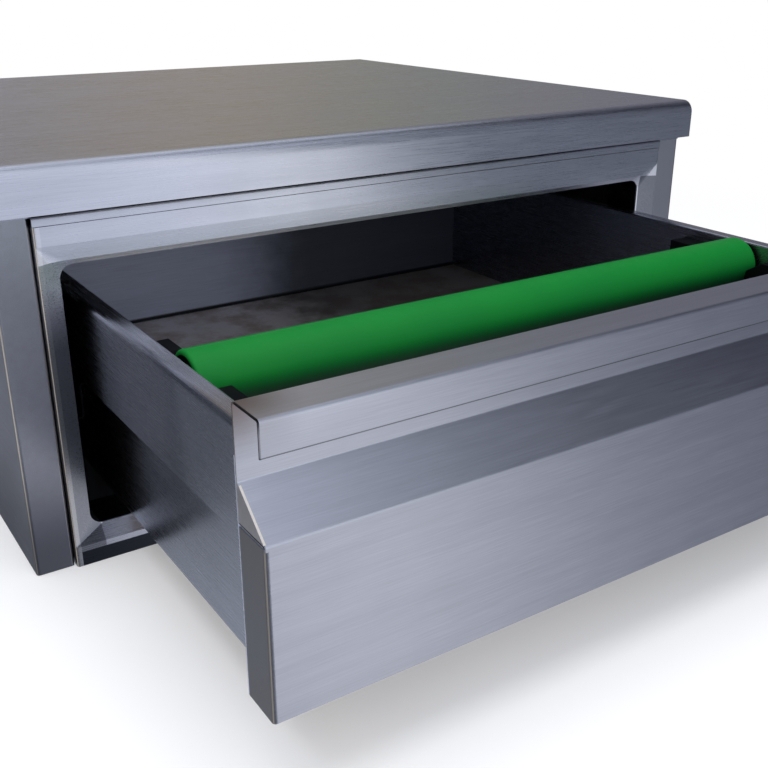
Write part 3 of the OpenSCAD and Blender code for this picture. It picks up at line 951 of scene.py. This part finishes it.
def built(finish: Finish) -> Material:
    """Declare a field that holds the material of a finish."""
    return field(default_factory=finish.build)


@dataclass
class Finishes:
    """Every material of the object, built once."""

    back: Material = built(BrushedStainless("stainless_brushed_across"))
    walls: Material = built(
        WallSteel("stainless_brushed_along", roughness=0.26, grain=Grain.ALONG_Y)
    )
    posts: Material = built(PostSteel("stainless_brushed_sides", grain=Grain.ALONG_Y))
    top: Material = built(TopSteel("stainless_brushed_worktop", roughness=0.29))
    dull_steel: Material = built(
        BrushedStainless(
            "stainless_mill_finish",
            tint="8e9096",
            roughness=0.45,
            anisotropy=0.2,
            spacing_mm=1.6,
        )
    )
    lining: Material = built(
        LiningStainAndShade(
            "stainless_lining_stain_and_shade",
            tint="b8c0d6",
            roughness=0.4,
            metallic=0.35,
            anisotropy=0.35,
            spacing_mm=1.4,
            smudge_mm=38.0,
        )
    )
    front: Material = built(FrontSteel("stainless_drawer_front"))
    face: Material = built(FaceSteel("stainless_face_frame", roughness=0.29))
    zinc: Material = built(ZincPlate())
    # A dark copy of the zinc plate: painted shade on the rail brackets and frame screws
    shaded_zinc: Material = built(ZincPlate("zinc_with_painted_shade", tint="191a1d", roughness=0.45))
    balls: Material = built(BearingSteel())
    green: Material = built(SatinRubber())
    black: Material = built(MouldedPolymer())
    pad: Material = built(MouldedPolymer("black_rubber_pad", tint="0f0f10", roughness=0.75))
    board: Material = built(ChipBoard())


# ---- Pieces ----


def linked(name: str, data: bpy.types.ID) -> bpy.types.Object:
    """Make an object and put it in the scene.

    Args:
        name: Its name.
        data: Its mesh, camera or lamp.

    Returns:
        The new object.
    """
    thing = bpy.data.objects.new(name, data)
    bpy.context.scene.collection.objects.link(thing)
    return thing


def meshed(name: str, mesh: BMesh, material: Material) -> bpy.types.Object:
    """Turn a bmesh into an object.

    Args:
        name: The object's name.
        mesh: The finished shape, which is freed.
        material: Its finish.

    Returns:
        The new object.
    """
    data = bpy.data.meshes.new(name)
    mesh.to_mesh(data)
    mesh.free()
    data.materials.append(material)
    return linked(name, data)


def piece(name: str, mesh: BMesh, material: Material, body: str) -> bpy.types.Object:
    """Turn a bmesh into an object that rides on a body.

    Args:
        name: The piece's name.
        mesh: The finished shape, which is freed.
        material: Its finish.
        body: The body that carries it.

    Returns:
        The new object.
    """
    thing = meshed(name, mesh, material)
    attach(thing, body)
    log.info("%s made, on %s", name, body)
    return thing


def smooth(mesh: BMesh, angle: float = 40.0) -> None:
    """Shade a mesh smooth, with sharp edges kept.

    Args:
        mesh: The shape.
        angle: Edges that bend more than this many degrees stay sharp.
    """
    for face in mesh.faces:
        face.smooth = True
    limit = math.radians(angle)
    for edge in mesh.edges:
        edge.smooth = len(edge.link_faces) != 2 or edge.calc_face_angle(0.0) < limit


def turned(profile: Sequence[Pair], steps: int) -> BMesh:
    """Spin a profile round the X axis into a closed shape.

    Args:
        profile: Points of (x, radius) in metres; the first and the last are the same point.
        steps: How many faces go round.

    Returns:
        The turned shape.
    """
    mesh = bmesh.new()
    row = [mesh.verts.new((x, 0.0, r)) for x, r in profile]
    edges = [mesh.edges.new(pair) for pair in zip(row, row[1:])]
    bmesh.ops.spin(
        mesh,
        geom=row + edges,
        cent=(0, 0, 0),
        axis=(1, 0, 0),
        angle=math.tau,
        steps=steps,
        use_merge=True,
    )
    bmesh.ops.remove_doubles(mesh, verts=mesh.verts, dist=WELD_DISTANCE)
    bmesh.ops.recalc_face_normals(mesh, faces=mesh.faces)
    return mesh


@dataclass
class Assembly:
    """Parts of the object that belong together."""

    finishes: Finishes
    nodes: dict

    def dress(self, material: Material, *names: str) -> None:
        """Give CAD parts one finish.

        Args:
            material: The finish.
            names: The parts' names in the frame.
        """
        for name in names:
            data = self.nodes[name].data
            data.materials.clear()
            data.materials.append(material)
            log.info("%s dressed in %s", name, material.name)


# ---- Housing ----


@dataclass
class Housing(Assembly):
    """Counter housing, its worktop and the fixed side of the rails."""

    def build(self) -> None:
        """Dress the housing's parts."""
        f = self.finishes
        self.dress(f.face, "face_frame")
        self.dress(f.top, "top_deck", "worktop_skin")
        self.dress(f.back, "back_panel")
        self.dress(f.posts, "side_panel_left", "side_panel_right")
        self.dress(f.dull_steel, "stile_left", "stile_right", "base_panel")
        self.dress(f.zinc, "outer_rail_left", "outer_rail_right", "back_screws")
        self.dress(f.shaded_zinc, "rail_bracket_left", "rail_bracket_right", "frame_screws")
        self.dress(f.board, "worktop_core")
        self.dress(f.pad, "worktop_pads")


# ---- Rails ----


@dataclass
class TelescopicRails(Assembly):
    """Moving members, cages and balls of the rails."""

    def build(self) -> None:
        """Dress the rails on both sides."""
        f = self.finishes
        for side in ("left", "right"):
            self.dress(f.zinc, f"middle_rail_{side}", f"inner_rail_{side}")
            self.dress(f.zinc, f"outer_cage_{side}", f"inner_cage_{side}")
            self.dress(f.balls, f"outer_balls_{side}", f"inner_balls_{side}")


# ---- Drawer ----


@dataclass
class Drawer(Assembly):
    """Drawer box, folded front and cradles."""

    cradle_radius_mm: float = 0.7
    cradle_bend_deg: float = 30.0
    # Faces of the CAD mesh that bend less than this are one
    flat_deg: float = 1.0

    def build(self) -> None:
        """Dress the drawer's parts."""
        f = self.finishes
        self.dress(f.front, "drawer_front")
        self.dress(f.lining, "drawer_pan", "front_inner_panel")
        self.dress(f.walls, "drawer_side_left", "drawer_side_right")
        self.dress(f.dull_steel, "cross_brace_front", "cross_brace_rear")
        self.dress(f.zinc, "front_screws", "cradle_screws")
        # The studio's light reaches the metal behind the front as if the front weren't there
        for name in ("drawer_front", "front_inner_panel"):
            self.nodes[name].visible_glossy = False
        for side in ("left", "right"):
            self.cradle(side)

    def cradle(self, side: str) -> None:
        """Make a moulded cradle with the small radius that its mould gives every edge.

        Args:
            side: "left" or "right".
        """
        node = self.nodes[f"cradle_{side}"]
        mesh = bmesh.new()
        mesh.from_mesh(node.data)
        bmesh.ops.remove_doubles(mesh, verts=mesh.verts, dist=WELD_DISTANCE)
        bmesh.ops.dissolve_limit(
            mesh, angle_limit=math.radians(self.flat_deg), verts=mesh.verts, edges=mesh.edges
        )
        bend = math.radians(self.cradle_bend_deg)
        bmesh.ops.bevel(
            mesh,
            geom=[edge for edge in mesh.edges if edge.calc_face_angle(0.0) > bend],
            offset=self.cradle_radius_mm * MM,
            affect="EDGES",
            segments=3,
            profile=0.5,
            material=-1,
        )
        bmesh.ops.recalc_face_normals(mesh, faces=mesh.faces)
        smooth(mesh)
        name = f"moulded_cradle_{side}"
        shape = piece(name, mesh, self.finishes.black, "drawer")
        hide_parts(node.name)


# ---- Knock bar ----


@dataclass
class KnockBar(Assembly):
    """Loose bar with its rubber sleeve."""

    axis_mm: Pair = (-474.0, 204.675)
    half_mm: float = 276.5
    radius_mm: float = 23.96
    bore_mm: float = 20.1
    bore_edge_mm: float = 0.4
    end_radius_mm: float = 2.6
    end_steps: int = 6
    steps: int = 128

    def sleeve(self) -> None:
        """Turn the rubber sleeve with its rounded ends."""
        corner, edge = self.end_radius_mm, self.bore_edge_mm
        quarter = math.radians(90)
        bend_shade = [quarter * step / self.end_steps for step in range(self.end_steps + 1)]
        end, rim = self.half_mm - corner, self.radius_mm - corner
        half = [(end + corner * math.sin(a), rim + corner * math.cos(a)) for a in bend_shade]
        outside = [(-x, r) for x, r in reversed(half)] + half
        mouth = [(self.half_mm, self.bore_mm + edge), (self.half_mm - edge, self.bore_mm)]
        bore = mouth + [(-x, r) for x, r in reversed(mouth)]
        profile = [(x * MM, r * MM) for x, r in outside + bore]
        mesh = turned(profile + profile[:1], self.steps)
        across, up = self.axis_mm
        bmesh.ops.translate(mesh, verts=mesh.verts, vec=(0.0, across * MM, up * MM))
        smooth(mesh)
        shape = piece("ground_sleeve", mesh, self.finishes.green, "knock_bar")
        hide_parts("bar_sleeve")

    def build(self) -> None:
        """Dress the bar."""
        self.sleeve()
        self.dress(self.finishes.zinc, "bar_tube")
        self.dress(self.finishes.black, "bar_plug_left", "bar_plug_right")


# ---- Studio ----


@dataclass(frozen=True)
class Softbox:
    """Soft rectangular lamp: where it hangs, what it faces, its size in metres and its watts."""

    name: str
    at: tuple[float, float, float]
    to: tuple[float, float, float]
    wide: float
    high: float
    power: float

    def hang(self) -> None:
        """Put the lamp in the scene."""
        data = bpy.data.lights.new(self.name, "AREA")
        data.shape = "RECTANGLE"
        data.size = self.wide
        data.size_y = self.high
        data.energy = self.power
        lamp = linked(self.name, data)
        # Metal shows the studio's own tones instead of the lamps
        lamp.visible_glossy = False
        away = (Vector(self.at) - Vector(self.to)).normalized()
        turn = away.to_track_quat("Z", "Y").to_matrix().to_4x4()
        lamp.matrix_world = Matrix.Translation(self.at) @ turn


@dataclass
class Studio:
    """Camera, lamps, floor and background."""

    camera_mm: tuple[float, float, float] = (-505.4, -1065.4, 458.5)
    look: tuple[float, float, float] = (0.50607, 0.77505, -0.3784)
    roll_deg: float = 0.1
    lens_mm: float = 47.2
    sensor_mm: float = 36.0
    lamps: tuple[Softbox, ...] = (
        Softbox(
            "front_softbox", at=(-0.5, -2.6, 1.6), to=(-0.1, -0.4, 0.15),
            wide=3.0, high=2.2, power=24.0,
        ),
        Softbox(
            "top_softbox", at=(0.0, -0.7, 2.4), to=(0.0, -0.45, 0.0),
            wide=2.6, high=1.8, power=40.0,
        ),
    )
    # The floor, in metres: its size, its drop below the object, and between which distances from
    # the object it turns into the white background; then its share of white beside the object
    floor_size: float = 12.0
    floor_drop: float = 0.0004
    floor_fade: Pair = (0.55, 1.6)
    floor_white: float = 0.25
    # Tones round the compass, from behind the object by its left, its front (0.5) and its right:
    # first what metal shows from level and above, then what it shows from well below level
    high_tones: tuple[tuple[float, str], ...] = (
        (0.0, "757375"), (0.03, "4a4c52"), (0.05, "363a42"), (0.13, "363a42"), (0.2, "d4cabb"),
        (0.29, "d4cabb"), (0.33, "3f4349"), (0.42, "646771"), (0.5, "b9bdc8"), (0.545, "c4cada"),
        (0.568, "dfe3f0"), (0.584, "ffffff"), (0.589, "dde1ec"), (0.594, "868c9b"), (0.6, "3a424f"),
        (0.609, "464d59"), (0.616, "676d79"), (0.634, "5e626e"), (0.65, "5e626c"),
        (0.668, "4a4d58"), (0.689, "343743"), (0.7, "24262e"), (0.74, "282a32"), (0.8, "52525a"),
        (0.858, "6a6a73"), (0.875, "716f73"), (0.9, "797a70"), (0.93, "8c8172"), (0.97, "7a7674"),
    )
    low_tones: tuple[tuple[float, str], ...] = (
        (0.0, "464b54"), (0.041, "a0a4ae"), (0.0435, "444952"), (0.0485, "40454e"),
        (0.0495, "9a9ea8"), (0.0518, "9a9ea8"), (0.0528, "363b44"), (0.062, "30363f"),
        (0.068, "4c4f56"), (0.1, "42464d"), (0.18, "5a5d64"), (0.21, "d4cabb"), (0.28, "d4cabb"),
        (0.33, "3f4349"), (0.43, "4c5059"), (0.535, "484c56"), (0.545, "5c5f6b"),
        (0.557, "bdc1cc"), (0.576, "e3e2e5"), (0.598, "d3d5da"), (0.61, "b5b8c1"),
        (0.6225, "9396a2"), (0.644, "70727d"), (0.67, "575a66"), (0.75, "494c56"), (0.9, "54565f"),
    )
    strength: float = 1.5
    # Height of each change of tone, as the Z of a direction, and half its softness
    below_level: float = -0.26
    overhead: float = 0.76
    underfoot: float = -0.5
    softness: float = 0.04
    # What the drawer's side shows from far below, and where on the compass it does
    underfoot_tone: str = "8e939e"
    underfoot_edge: Pair = (0.12, 0.09)
    # The ceiling is dark in one quarter, on the drawer's right; both edges run from dark to light
    overhead_tone: str = "ccd2e0"
    overhead_edges: tuple[Pair, Pair] = ((0.686, 0.67), (0.77, 0.8))

    def build(self) -> None:
        """Set the camera, the background, the floor and the lamps."""
        self.camera()
        self.world()
        self.floor()
        for lamp in self.lamps:
            lamp.hang()
        bpy.context.scene.view_settings.view_transform = "Standard"
        log.info("studio ready")

    def camera(self) -> None:
        """Place the camera where the photograph was taken from."""
        data = bpy.data.cameras.new("camera")
        data.lens = self.lens_mm
        data.sensor_width = self.sensor_mm
        thing = linked("camera", data)
        forward = Vector(self.look).normalized()
        turn = (-forward).to_track_quat("Z", "Y").to_matrix().to_4x4()
        turn = turn @ Matrix.Rotation(math.radians(-self.roll_deg), 4, "Z")
        thing.matrix_world = Matrix.Translation(Vector(self.camera_mm) * MM) @ turn
        bpy.context.scene.camera = thing

    def tones(self, graph: Graph) -> Socket:
        """Give the studio's tone in each direction: pale ahead of the drawer, grey elsewhere.

        Args:
            graph: The world's nodes.

        Returns:
            The tone as a colour.
        """
        x, y, z = graph.axes(graph.add("ShaderNodeTexCoord").outputs["Generated"])
        turn = graph.calc("ARCTAN2", x, graph.times(y, -1.0))
        compass = graph.scaled(turn, (-math.pi, math.pi))
        high, low = [
            graph.ramp(compass, [way for way, _ in tones], [colour(code) for _, code in tones])
            for tones in (self.high_tones, self.low_tones)
        ]
        level, topmost, above_foot = [
            graph.scaled(z, (height - self.softness, height + self.softness), soft=True)
            for height in (self.below_level, self.overhead, self.underfoot)
        ]
        beside = graph.scaled(compass, self.underfoot_edge)
        foot = graph.times(beside, graph.inverse(above_foot))
        sides = graph.mixed(level, graph.layered(low, (foot, self.underfoot_tone)), high)
        before, beyond = [graph.scaled(compass, ends) for ends in self.overhead_edges]
        ceiling = graph.times(topmost, graph.calc("MAXIMUM", before, beyond))
        return graph.layered(sides, (ceiling, self.overhead_tone))

    def world(self) -> None:
        """Light the object softly from ahead and above, on a white background."""
        world = bpy.data.worlds.new("studio_world")
        bpy.context.scene.world = world
        world.use_nodes = True
        world.node_tree.nodes.clear()
        graph = Graph(world.node_tree)
        path = graph.add("ShaderNodeLightPath")
        seen = graph.add("ShaderNodeBackground", {"Color": colour(WHITE), "Strength": 1.0})
        tones = {"Color": self.tones(graph), "Strength": self.strength}
        studio = graph.add("ShaderNodeBackground", tones)
        pick = graph.add("ShaderNodeMixShader", {
            0: path.outputs["Is Camera Ray"],
            1: studio.outputs["Background"],
            2: seen.outputs["Background"],
        })
        graph.add("ShaderNodeOutputWorld", {"Surface": pick.outputs["Shader"]})

    def floor(self) -> None:
        """Lay a plain pale floor that keeps the object's shadow."""
        mesh = bmesh.new()
        bmesh.ops.create_grid(mesh, x_segments=1, y_segments=1, size=self.floor_size / 2)
        bmesh.ops.translate(mesh, verts=mesh.verts, vec=(0, 0, -self.floor_drop))
        thing = meshed("floor", mesh, self.paper())

    def paper(self) -> Material:
        """Make the floor's material.

        Away from the object it is the white background to the camera, and metal sees the studio's
        lower tones through it.

        Returns:
            The material.
        """
        material, graph = blank_material("floor_paper")
        paper = graph.add("ShaderNodeBsdfDiffuse", {"Color": colour(WHITE)})
        clear = graph.add("ShaderNodeBsdfTransparent")
        white = graph.add("ShaderNodeEmission", {"Color": colour(WHITE), "Strength": 1.0})
        path = graph.add("ShaderNodeLightPath")
        far = graph.vector("LENGTH", graph.place()).outputs["Value"]
        fade = graph.scaled(far, self.floor_fade, (self.floor_white, 1.0), soft=True)
        metal = graph.add("ShaderNodeMixShader", {
            0: path.outputs["Is Glossy Ray"],
            1: paper.outputs["BSDF"],
            2: clear.outputs["BSDF"],
        })
        both = graph.add("ShaderNodeMixShader", {
            0: graph.times(path.outputs["Is Camera Ray"], fade),
            1: metal.outputs["Shader"],
            2: white.outputs["Emission"],
        })
        graph.add("ShaderNodeOutputMaterial", {"Surface": both.outputs["Shader"]})
        return material


def main() -> None:
    """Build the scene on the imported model."""
    logging.basicConfig(level=logging.INFO, format="%(name)s: %(message)s")
    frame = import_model()
    nodes = frame["nodes"]
    Studio().build()
    finishes = Finishes()
    Housing(finishes, nodes).build()
    TelescopicRails(finishes, nodes).build()
    Drawer(finishes, nodes).build()
    KnockBar(finishes, nodes).build()


if __name__ == "__main__":
    main()
